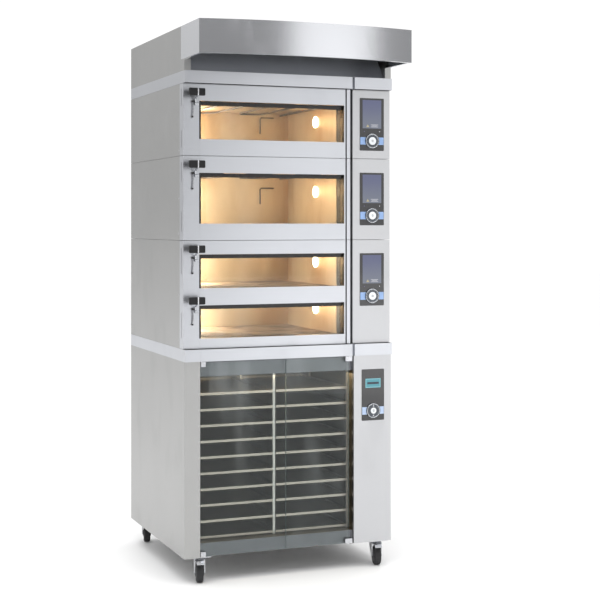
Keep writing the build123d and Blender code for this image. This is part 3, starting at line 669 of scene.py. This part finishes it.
# ------------------------------------------------------------------ finishes of this oven
class Finishes:
    """Every finish that the oven uses, made once."""

    def __init__(self) -> None:
        """Builds the materials."""
        self.side = BrushedSteel("side_sheet", (0.47, 0.47, 0.465), 0.38, Grain.UPRIGHT, 0.10).material()
        self.face = BrushedSteel("face_strip", (0.20, 0.205, 0.22), 0.34).material()
        self.jamb = Moulding("jamb_enamel", (0.012, 0.011, 0.01), 0.28, 500.0, 0.00003).material()
        self.front = BrushedSteel("front_sheet", (0.60, 0.615, 0.65), 0.30).material()
        self.column = BrushedSteel("column_sheet", (0.56, 0.565, 0.58), 0.34, Grain.UPRIGHT).material()
        self.hood = BrushedSteel("hood_sheet", (0.73, 0.74, 0.77), 0.22).material()
        self.baffle = BrushedSteel("baffle_sheet", (0.30, 0.31, 0.33), 0.36).material()
        self.inner = BrushedSteel("cabinet_lining", (0.26, 0.23, 0.18), 0.45).material()
        self.rack = BrushedSteel("rack_strip", (0.64, 0.62, 0.58), 0.30).material()
        self.tray = BrushedSteel("tray_sheet", (0.62, 0.56, 0.48), 0.38, contrast=0.12).material()
        self.fan = BrushedSteel("fan_sheet", (0.6, 0.6, 0.61), 0.36).material()
        self.frame = Moulding("frame_paint", (0.05, 0.05, 0.055), 0.5, 300.0, 0.0001).material()
        self.chamber = HeatedSteel("chamber_sheet", (0.74, 0.62, 0.44), (0.42, 0.27, 0.14)).material()
        self.element = Moulding("element_oxide", (0.07, 0.055, 0.045), 0.6, 300.0, 0.0001).material()
        self.stone = FiredStone("baking_slab").material()
        self.wool = WoolSlab("mineral_wool").material()
        self.zinc = ZincPlate("zinc_plate").material()
        self.tread = Moulding("tread_rubber", (0.016, 0.016, 0.018), 0.62, 420.0, 0.0002).material()
        self.hub = Moulding("hub_plastic", (0.10, 0.10, 0.11), 0.42).material()
        self.black = Moulding("black_gloss", (0.012, 0.012, 0.014), 0.16, 900.0, 0.00001, 0.6).material()
        self.tip = Moulding("black_tip", (0.015, 0.015, 0.015), 0.32).material()
        self.ivory = Moulding("white_button", (0.82, 0.85, 0.88), 0.22, 900.0, 0.00001, 0.4).material()
        self.dial = Moulding("dial_face", (0.035, 0.045, 0.06), 0.22, 900.0, 0.00001, 0.5).material()
        self.band = Moulding("blue_inlay", (0.27, 0.42, 0.72), 0.2, 900.0, 0.00001, 0.4).material()
        self.pale_band = Moulding("pale_blue_inlay", (0.46, 0.58, 0.80), 0.2, 900.0, 0.00001, 0.4).material()
        self.ring = BrushedSteel("dial_ring", (0.86, 0.88, 0.92), 0.2).material()
        self.mark = Moulding("dark_mark", (0.03, 0.04, 0.06), 0.3).material()
        self.glass = ClearGlass("clear_pane").material()
        self.glass_edge = Moulding("ground_glass_edge", (0.20, 0.25, 0.245), 0.2, 500.0, 0.00002).material()
        self.lens = Glow("lamp_lens", (1.0, 0.72, 0.36), (1.0, 0.86, 0.6), 14.0).material()
        self.white_glow = Glow("white_symbol", (0.85, 0.88, 0.95), (0.95, 0.95, 1.0), 0.7).material()
        self.amber_glow = Glow("amber_symbol", (0.75, 0.62, 0.3), (0.8, 0.7, 0.4), 0.6).material()
        self.violet_glow = Glow("violet_lamp", (0.22, 0.2, 0.4), (0.25, 0.22, 0.45), 0.5).material()
        self.cyan = Glow("text_display", (0.08, 0.50, 0.62), (0.14, 0.66, 0.78), 0.5).material()
        self.pale_cyan = Glow("display_border", (0.42, 0.80, 0.86), (0.5, 0.86, 0.9), 0.8).material()


# ------------------------------------------------------------------ sub-assemblies
@dataclass
class Shell:
    """Hood, bands, casings, deck fronts and control columns."""

    nodes: dict[str, bpy.types.Object]
    finishes: Finishes
    screw_radius: float = 3.2 * MM
    screw_from_front: float = 12.0 * MM
    screw_height: float = 1.4 * MM
    screw_heights: tuple[float, float] = (0.5, 0.08)
    sheet_depth: float = 49.0 * MM
    jamb_span: tuple[float, float] = (60.0 * MM, 719.0 * MM)

    def build(self) -> None:
        """Dresses the sheets and adds their screws."""
        f = self.finishes
        for deck in ("deck_1", "deck_2", "deck_3"):
            dress(self.nodes[f"{deck}_casing"], f.side)
            front = self.nodes[f"{deck}_front"]
            dress(front, f.front, f.jamb)
            low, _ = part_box(f"{deck}_casing")
            sheet_back = low.y - self.sheet_depth
            left, right = (low.x + reach for reach in self.jamb_span)
            pick(front, 1, lambda p: p.center.y > sheet_back and left < p.center.x < right)
            self.screws(deck)
        dress(self.nodes["joint_bands"], f.front)
        dress(self.nodes["control_columns"], f.column)
        dress(self.nodes["hood_body"], f.side)
        dress(self.nodes["hood_canopy"], f.hood)
        dress(self.nodes["hood_baffle"], f.baffle)
        dress(self.nodes["hood_fan"], f.fan)
        dress(self.nodes["insulation"], f.wool)
        dress(self.nodes["base_frame"], f.frame)

    def screws(self, deck: str) -> None:
        """Adds the screws that hold one casing's side sheets.

        Args:
            deck: the casing's name.
        """
        low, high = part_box(f"{deck}_casing")
        y = low.y + self.screw_from_front

        def heads(shape: bmesh.types.BMesh) -> None:
            """Adds low domed heads on both sides.

            Args:
                shape: the mesh.
            """
            for x in (low.x, high.x):
                for share in self.screw_heights:
                    z = low.z + (high.z - low.z) * share
                    place = Matrix.Translation((x, y, z)) @ Matrix.Rotation(math.pi / 2, 4, "Y")
                    bmesh.ops.create_uvsphere(
                        shape, u_segments=24, v_segments=12, radius=self.screw_radius,
                        matrix=place @ Matrix.Diagonal((1, 1, self.screw_height / self.screw_radius, 1)),
                    )

        made = piece(f"{deck}_screws", heads, self.finishes.zinc, "root")
        smooth(made.data)


@dataclass
class Chamber:
    """One baking chamber with its door, handle and damper lever."""

    number: int
    nodes: dict[str, bpy.types.Object]
    finishes: Finishes
    grip: bpy.types.Material
    room: list[list[float]]
    lamp_power: float = 0.22
    glow_power: float = 6.4
    lamp_inset: float = 60.0 * MM
    lamp_reach: float = 230.0 * MM
    lamp_rise: float = 0.72
    glow_inset: float = 110.0 * MM
    glow_reach: float = 140.0 * MM
    glow_rise: float = 0.6
    lamp_colour: Colour = (1.0, 0.62, 0.30)
    glow_colour: Colour = (1.0, 0.91, 0.76)
    light_radius: float = 30.0 * MM
    rail_height: float = 26.0 * MM
    grip_height: float = 31.5 * MM
    tip_top: float = 14.0 * MM
    tip_foot: float = 11.0 * MM
    probe_bend: float = 6.0 * MM
    gasket_reach: float = 3.0 * MM
    gasket_width: float = 8.0 * MM
    gasket_depth: float = 27.0 * MM
    probe_from_left: float = 0.496
    probe_from_back: float = 18.0 * MM
    probe_height: float = 168.0 * MM
    probe_clearance: float = 8.0 * MM
    probe_arm: float = 68.0 * MM
    probe_drop: float = 75.0 * MM
    probe_radius: float = 3.4 * MM

    def build(self) -> None:
        """Dresses the moving pieces and lights the lamp."""
        f = self.finishes
        door = self.nodes[f"oven_door_{self.number}"]
        dress(door, f.glass, f.jamb)
        low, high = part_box(door.name)
        pane_top = high.z - self.rail_height
        pick(door, 1, lambda p: p.center.z > pane_top)
        handle = self.nodes[f"door_handle_{self.number}"]
        dress(handle, self.grip, f.zinc)
        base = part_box(handle.name)
        grip_bottom = base[1].z - self.grip_height
        pick(handle, 1, lambda p: p.center.z < grip_bottom)
        lever = self.nodes[f"damper_lever_{self.number}"]
        dress(lever, f.zinc, f.tip)
        foot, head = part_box(lever.name)
        tip_low, tip_high = foot.z + self.tip_foot, head.z - self.tip_top
        pick(lever, 1, lambda p: p.center.z > tip_high or p.center.z < tip_low)
        self.gasket()
        if self.number in (1, 2):
            self.probe()
        self.light()

    def gasket(self) -> None:
        """The black seal behind the fascia, seen at the window's left edge."""
        _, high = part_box(f"oven_door_{self.number}")
        low, top = Vector(self.room[0]), high.z
        edge, front = low.x - self.gasket_reach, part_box("joint_bands")[0].y + self.gasket_depth
        middle = (low.z + top) / 2
        outline = rectangle(edge + self.gasket_width / 2, middle, self.gasket_width, top - low.z)
        piece(
            f"window_gasket_{self.number}",
            lambda shape: plate(shape, outline, front, 1.0 * MM),
            self.finishes.jamb, "root",
        )

    def probe(self) -> None:
        """The bent temperature probe in front of the chamber's back wall."""
        low, high = Vector(self.room[0]), Vector(self.room[1])
        x, y = low.x + self.probe_from_left, high.y - self.probe_from_back
        top = min(low.z + self.probe_height, high.z - self.probe_clearance)
        bend = self.probe_bend
        path = [
            Vector((x + self.probe_arm, high.y + 1.0 * MM, top)),
            Vector((x + self.probe_arm, y + bend, top)),
            Vector((x + self.probe_arm - bend, y, top)),
            Vector((x + bend, y, top)),
            Vector((x, y, top - bend)),
            Vector((x, y, top - self.probe_drop)),
        ]
        curve = bpy.data.curves.new(f"probe_line_{self.number}", "CURVE")
        curve.dimensions, curve.bevel_depth, curve.bevel_resolution = "3D", self.probe_radius, 6
        curve.use_fill_caps = True
        spline = curve.splines.new("POLY")
        spline.points.add(len(path) - 1)
        for point, place in zip(spline.points, path):
            point.co = (*place, 1.0)
        line = bpy.data.objects.new(curve.name, curve)
        bpy.context.scene.collection.objects.link(line)
        mesh = bpy.data.meshes.new_from_object(line)
        bpy.data.objects.remove(line)
        mesh.name = f"temperature_probe_{self.number}"
        mesh.materials.clear()
        mesh.materials.append(self.finishes.element)
        smooth(mesh)
        made = bpy.data.objects.new(mesh.name, mesh)
        bpy.context.scene.collection.objects.link(made)
        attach(made, "root")
        LOG.info("made %s on root", made.name)

    def light(self) -> None:
        """Adds the lamp's light on the right and the stronger glow at the back left."""
        low, high = Vector(self.room[0]), Vector(self.room[1])
        rise = high.z - low.z
        right = (high.x - self.lamp_inset, low.y + self.lamp_reach, low.z + rise * self.lamp_rise)
        left = (low.x + self.glow_inset, high.y - self.glow_reach, low.z + rise * self.glow_rise)
        for name, place, power, colour in (
            ("lamp", right, self.lamp_power, self.lamp_colour),
            ("glow", left, self.glow_power, self.glow_colour),
        ):
            data = bpy.data.lights.new(f"chamber_{name}_{self.number}", "POINT")
            data.energy = power
            data.color = colour
            data.shadow_soft_size = self.light_radius
            light = bpy.data.objects.new(data.name, data)
            light.location = place
            bpy.context.scene.collection.objects.link(light)


@dataclass
class ControlPanel:
    """One panel: bezel, display, dial and centre button."""

    cabinet: str
    nodes: dict[str, bpy.types.Object]
    finishes: Finishes
    band_height: float = 32.0 * MM
    ring_width: float = 1.8 * MM
    skin: float = 0.12 * MM
    bezel_back: float = 5.0 * MM
    tick_count: int = 36
    tick_size: tuple[float, float] = (0.25 * MM, 1.1 * MM)
    tick_inset: float = 6.8 * MM
    ring_inset: float = 3.2 * MM
    arrow_reach: float = 20.5 * MM
    arrow_size: tuple[float, float, float] = (4.0 * MM, 2.5 * MM, 3.5 * MM)
    band_half: float = 55.0 * MM
    prover_band_half: float = 51.0 * MM
    screen_foot: float = 54.0 * MM
    lamp_place: tuple[float, float] = (36.0 * MM, 41.0 * MM)
    text_centre: float = 118.0 * MM
    x: float = field(init=False)
    z: float = field(init=False)
    radius: float = field(init=False)
    dial_front: float = field(init=False)
    bezel_front: float = field(init=False)

    def build(self) -> None:
        """Dresses the moving pieces and adds the printed and lit details."""
        dial, button = self.nodes[f"dial_{self.cabinet}"], self.nodes[f"dial_button_{self.cabinet}"]
        dress(dial, self.finishes.dial)
        dress(button, self.finishes.ivory)
        low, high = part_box(dial.name)
        self.x, self.z = (low.x + high.x) / 2, (low.z + high.z) / 2
        self.radius = (high.x - low.x) / 2
        self.dial_front = low.y
        self.bezel_front = low.y + self.bezel_back
        self.inlay()
        self.dial_details(dial.name)
        self.button_symbol(button.name)
        if self.is_prover():
            self.text_display()
        else:
            self.colour_display()

    def is_prover(self) -> bool:
        """Returns whether this is the proofing cabinet's panel."""
        return self.cabinet == "prover"

    def inlay(self) -> None:
        """The pale blue band across the bezel behind the dial."""
        half = self.prover_band_half if self.is_prover() else self.band_half
        finish = self.finishes.pale_band if self.is_prover() else self.finishes.band
        outline = rectangle(self.x, self.z, 2 * half, self.band_height)
        piece(
            f"blue_band_{self.cabinet}",
            lambda shape: plate(shape, outline, self.bezel_front, self.skin),
            finish, "root",
        )

    def dial_details(self, body: str) -> None:
        """Adds the dial's ring, its fine ticks, and the prover's two arrows.

        Args:
            body: the dial that they turn with.
        """
        centre = Vector((self.x, self.dial_front, self.z))
        made = piece(
            f"{body}_ring",
            lambda shape: ring(shape, centre, self.radius - self.ring_inset, self.ring_width, 0.6 * MM),
            self.finishes.ring, body,
        )
        smooth(made.data)

        def ticks(shape: bmesh.types.BMesh) -> None:
            """Adds short marks round the dial.

            Args:
                shape: the mesh.
            """
            across, along = self.tick_size
            corners = [(-across, -along), (across, -along), (across, along), (-across, along)]
            reach = self.radius - self.tick_inset
            for k in range(self.tick_count):
                turn = 2 * math.pi * k / self.tick_count
                outline = [
                    (
                        self.x + (reach + b) * math.cos(turn) - a * math.sin(turn),
                        self.z + (reach + b) * math.sin(turn) + a * math.cos(turn),
                    )
                    for a, b in corners
                ]
                plate(shape, outline, self.dial_front, self.skin)

        piece(f"{body}_ticks", ticks, self.finishes.ring, body)
        if self.is_prover():
            half, foot, head = self.arrow_size
            for name, way in (("up", 1), ("down", -1)):
                z = self.z + way * self.arrow_reach
                base = z - way * foot
                points = [(self.x - half, base), (self.x + half, base), (self.x, z + way * head)]
                piece(
                    f"{body}_arrow_{name}",
                    lambda shape, p=points: plate(shape, p, self.dial_front, self.skin),
                    self.finishes.white_glow, body,
                )

    def button_symbol(self, body: str) -> None:
        """Adds a small start symbol on the centre button.

        Args:
            body: the button that it moves with.
        """
        low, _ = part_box(body)
        centre = Vector((self.x, low.y, self.z))

        def symbol(shape: bmesh.types.BMesh) -> None:
            """Adds a ring and a bar.

            Args:
                shape: the mesh.
            """
            ring(shape, centre, 4.2 * MM, 1.1 * MM, 0.15 * MM)
            plate(shape, rectangle(self.x, self.z + 1.2 * MM, 1.3 * MM, 5.6 * MM), low.y, 0.2 * MM)

        piece(f"{body}_symbol", symbol, self.finishes.mark, body)

    def colour_display(self) -> None:
        """Generic lit marks on a deck's upright display, and the two small lamps beside it."""
        f = self.finishes
        screen_low = self.z + self.screen_foot
        front = self.bezel_front
        triangle = [
            (self.x + across * MM, screen_low + up * MM) for across, up in ((-27, 6), (-13, 6), (-20, 17))
        ]
        lines = [
            rectangle(self.x + 12 * MM, screen_low + up * MM, wide * MM, 1.6 * MM)
            for up, wide in ((7, 34), (11.5, 26), (16, 34))
        ]
        marks = {"heat_symbol": (f.amber_glow, [triangle]), "level_lines": (f.white_glow, lines)}
        for name, (finish, outlines) in marks.items():

            def marks_mesh(shape: bmesh.types.BMesh, outlines: list = outlines) -> None:
                """Adds the marks as thin lit plates.

                Args:
                    shape: the mesh.
                    outlines: each mark's outline.
                """
                for outline in outlines:
                    plate(shape, outline, front, self.skin)

            piece(f"{name}_{self.cabinet}", marks_mesh, finish, "root")
        across, up = self.lamp_place
        for name, side, finish in (("left", -1, f.violet_glow), ("right", 1, f.white_glow)):
            outline = arc(self.x + side * across, self.z + up, 2.0 * MM, 32)
            piece(
                f"panel_lamp_{name}_{self.cabinet}",
                lambda shape, o=outline: plate(shape, o, front, self.skin),
                finish, "root",
            )

    def text_display(self) -> None:
        """The border and the centre bar of the prover's display, with no lettering."""
        z = self.z + self.text_centre
        front = self.bezel_front
        strips = ((0, 17.5, 68, 1.4), (0, -17.5, 68, 1.4), (-33.3, 0, 1.4, 33.6), (33.3, 0, 1.4, 33.6))

        def border(shape: bmesh.types.BMesh) -> None:
            """Adds four thin lit strips.

            Args:
                shape: the mesh.
            """
            for x, up, wide, high in strips:
                outline = rectangle(self.x + x * MM, z + up * MM, wide * MM, high * MM)
                plate(shape, outline, front, self.skin)

        piece("prover_display_border", border, self.finishes.pale_cyan, "root")
        piece(
            "prover_display_bar",
            lambda shape: plate(shape, rectangle(self.x, z, 54 * MM, 9 * MM), front, self.skin),
            self.finishes.mark, "root",
        )


@dataclass
class ProofingCabinet:
    """Cabinet, lining, rack, trays, humidifier and the two glass doors."""

    nodes: dict[str, bpy.types.Object]
    finishes: Finishes
    groove: float = 22.0 * MM
    strip_from: float = 15.0 * MM
    strip_to: float = 24.0 * MM
    light_power: float = 1.6
    light_width: float = 50.0 * MM
    light_colour: Colour = (1.0, 0.80, 0.52)
    light_ahead: float = 20.0 * MM
    light_above: float = 60.0 * MM

    def is_strip(self, polygon: bpy.types.MeshPolygon, front: float, doors: tuple[float, float]) -> bool:
        """Whether a face belongs to the steel strips behind the glass.

        Args:
            polygon: the face.
            front: the cabinet's foremost point.
            doors: where the doors begin and end across the front.

        Returns:
            True for the strips.
        """
        back = polygon.center.y - front
        return self.strip_from < back < self.strip_to and doors[0] - 3 * MM < polygon.center.x < doors[1]

    def build(self) -> None:
        """Dresses the cabinet and lights it softly."""
        f = self.finishes
        cabinet = self.nodes["prover_cabinet"]
        dress(cabinet, f.side, f.face)
        low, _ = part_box(cabinet.name)
        doors = (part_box("prover_door_left")[0].x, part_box("prover_door_right")[1].x + self.groove)
        pick(cabinet, 1, lambda p: p.normal.y < -0.5 and self.is_strip(p, low.y, doors))
        dress(self.nodes["prover_liner"], f.inner)
        dress(self.nodes["humidifier"], f.inner)
        dress(self.nodes["tray_rack"], f.rack)
        dress(self.nodes["proofing_trays"], f.tray)
        for side in ("left", "right"):
            door = self.nodes[f"prover_door_{side}"]
            dress(door, f.glass, f.glass_edge)
            pick(door, 1, lambda p: abs(p.normal.y) < 0.5)
            dress(self.nodes[f"hinge_shoes_{side}"], f.zinc)
        low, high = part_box("proofing_trays")
        data = bpy.data.lights.new("cabinet_light", "AREA")
        data.shape, data.size, data.size_y = "RECTANGLE", high.x - low.x, self.light_width
        data.energy, data.color = self.light_power, self.light_colour
        light = bpy.data.objects.new(data.name, data)
        light.location = ((low.x + high.x) / 2, low.y - self.light_ahead, high.z + self.light_above)
        light.visible_camera = False
        bpy.context.scene.collection.objects.link(light)


@dataclass
class RunningGear:
    """Casters and brake pedals."""

    nodes: dict[str, bpy.types.Object]
    finishes: Finishes
    hub_share: float = 0.76

    def build(self) -> None:
        """Dresses plates, forks, wheels and pedals."""
        f = self.finishes
        dress(self.nodes["caster_plates"], f.zinc)
        for corner in ("front_left", "front_right", "rear_left", "rear_right"):
            dress(self.nodes[f"caster_fork_{corner}"], f.zinc)
            wheel = self.nodes[f"caster_wheel_{corner}"]
            dress(wheel, f.tread, f.hub)
            low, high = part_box(wheel.name)
            middle, radius = (low + high) / 2, (high.z - low.z) / 2
            pick(wheel, 1, lambda p: (p.center - middle).length < radius * self.hub_share)
            if corner.startswith("front"):
                dress(self.nodes[f"brake_pedal_{corner}"], f.zinc)


@dataclass
class Studio:
    """Floor, lights and camera."""

    floor_size: float = 60.0
    yaw: float = 21.68
    eye: Triple = (-2.0846, -5.6485, 1.4779)
    lens: float = 82.07
    shift_y: float = -0.1291

    def build(self) -> None:
        """Sets up the whole studio."""
        self.floor()
        self.world()
        self.softbox("front_right_box", (2.75, -5.6, 1.5), (2.7, 4.2), 38.0)
        self.softbox("overhead_box", (-0.3, -1.6, 5.2), (5.0, 5.0), 150.0)
        self.softbox("left_box", (-5.0, 1.2, 2.2), (2.5, 4.0), 26.0)
        self.camera()

    def floor(self) -> None:
        """A plain pale floor."""
        material, graph = new_material("pale_floor")
        cloud = graph.noise((1.0, 1.0, 1.0), 1.5, 3.0)
        close_material(
            graph,
            {"Base Color": graph.blend(cloud, (0.93, 0.93, 0.93), (0.95, 0.95, 0.95)), "Roughness": 0.55},
        )
        half = self.floor_size / 2
        mesh = bpy.data.meshes.new("floor")
        corners = [(-half, -half, 0), (half, -half, 0), (half, half, 0), (-half, half, 0)]
        mesh.from_pydata(corners, [], [(0, 1, 2, 3)])
        mesh.materials.append(material)
        floor = bpy.data.objects.new("floor", mesh)
        bpy.context.scene.collection.objects.link(floor)

    def world(self) -> None:
        """White surroundings that are dimmer where the front sheets mirror them."""
        world = bpy.data.worlds.new("studio")
        bpy.context.scene.world = world
        world.use_nodes = True
        graph = Graph(world.node_tree)
        direction = graph.add("ShaderNodeTexCoord").outputs["Generated"]
        way = graph.add("ShaderNodeSeparateXYZ", links={0: direction})
        up, ahead = Signal(graph, way.outputs[2]), Signal(graph, way.outputs[1])
        level = up.spread(-0.1, 0.8, 0.0, 0.85) + ahead.spread(-0.95, 0.6, 0.14, 0.56)
        seen = Signal(graph, graph.add("ShaderNodeLightPath").outputs["Is Camera Ray"])
        strength = level * (1 - seen) + seen * 1.05
        back = graph.add("ShaderNodeBackground", links={"Color": (1.0, 1.0, 1.0, 1.0), "Strength": strength})
        graph.add("ShaderNodeOutputWorld", links={0: back.outputs[0]})

    def softbox(self, name: str, place: Triple, size: tuple[float, float], power: float) -> None:
        """Adds one rectangular light that faces the oven.

        Args:
            name: the light's name.
            place: where it stands.
            size: its width and height.
            power: watts.
        """
        data = bpy.data.lights.new(name, "AREA")
        data.shape, data.size, data.size_y, data.energy = "RECTANGLE", size[0], size[1], power
        light = bpy.data.objects.new(name, data)
        light.location = place
        light.rotation_euler = (Vector((0, 0, 1.2)) - Vector(place)).to_track_quat("-Z", "Y").to_euler()
        light.visible_camera = False
        bpy.context.scene.collection.objects.link(light)

    def camera(self) -> None:
        """A level camera to the front left."""
        data = bpy.data.cameras.new("camera")
        data.sensor_width, data.lens, data.shift_y = 36.0, self.lens, self.shift_y
        camera = bpy.data.objects.new("camera", data)
        camera.location = self.eye
        camera.rotation_euler = (math.pi / 2, 0.0, -math.radians(self.yaw))
        bpy.context.scene.collection.objects.link(camera)
        bpy.context.scene.camera = camera


def dress_displays(nodes: dict[str, bpy.types.Object], finishes: Finishes) -> None:
    """Gives each screen its own lit gradient.

    Args:
        nodes: the oven's parts.
        finishes: its finishes.
    """
    screens = [finishes.cyan]
    spans = []
    for deck in ("deck_1", "deck_2", "deck_3"):
        low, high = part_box(f"dial_{deck}")
        foot = (low.z + high.z) / 2 + ControlPanel.screen_foot
        spans.append((foot, foot + SCREEN_HEIGHT))
        glow = Glow(f"{deck}_display", (0.26, 0.29, 0.36), (0.15, 0.17, 0.33), 0.6, spans[-1])
        screens.append(glow.material())
    dress(nodes["displays"], *screens)
    for number, (foot, top) in enumerate(spans, 1):
        edge = (foot - SCREEN_EDGE, top + SCREEN_EDGE)
        pick(nodes["displays"], number, lambda p, e=edge: e[0] < p.center.z < e[1])


def main() -> None:
    """Builds every sub-assembly in order."""
    logging.basicConfig(level=logging.INFO, format="%(message)s")
    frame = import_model()
    nodes = frame["nodes"]
    openings = {o["name"]: o["box_m"] for o in frame["record"]["physics"]["openings"]}
    bpy.context.scene.view_settings.view_transform = "Standard"
    finishes = Finishes()
    Shell(nodes, finishes).build()
    grip = GripPlastic("grip_plastic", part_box("door_handle_1")[0].x + GRIP_ARM).material()
    for number in (1, 2, 3, 4):
        Chamber(number, nodes, finishes, grip, openings[f"baking_chamber_{number}"]).build()
    dress(nodes["chamber_liners"], finishes.chamber)
    dress(nodes["baking_stones"], finishes.stone)
    dress(nodes["heating_elements"], finishes.element)
    dress(nodes["oven_lamps"], finishes.lens)
    dress(nodes["control_bezels"], finishes.black)
    dress_displays(nodes, finishes)
    for cabinet in ("deck_1", "deck_2", "deck_3", "prover"):
        ControlPanel(cabinet, nodes, finishes).build()
    ProofingCabinet(nodes, finishes).build()
    RunningGear(nodes, finishes).build()
    Studio().build()
    LOG.info("oven is built")


if __name__ == "__main__":
    main()
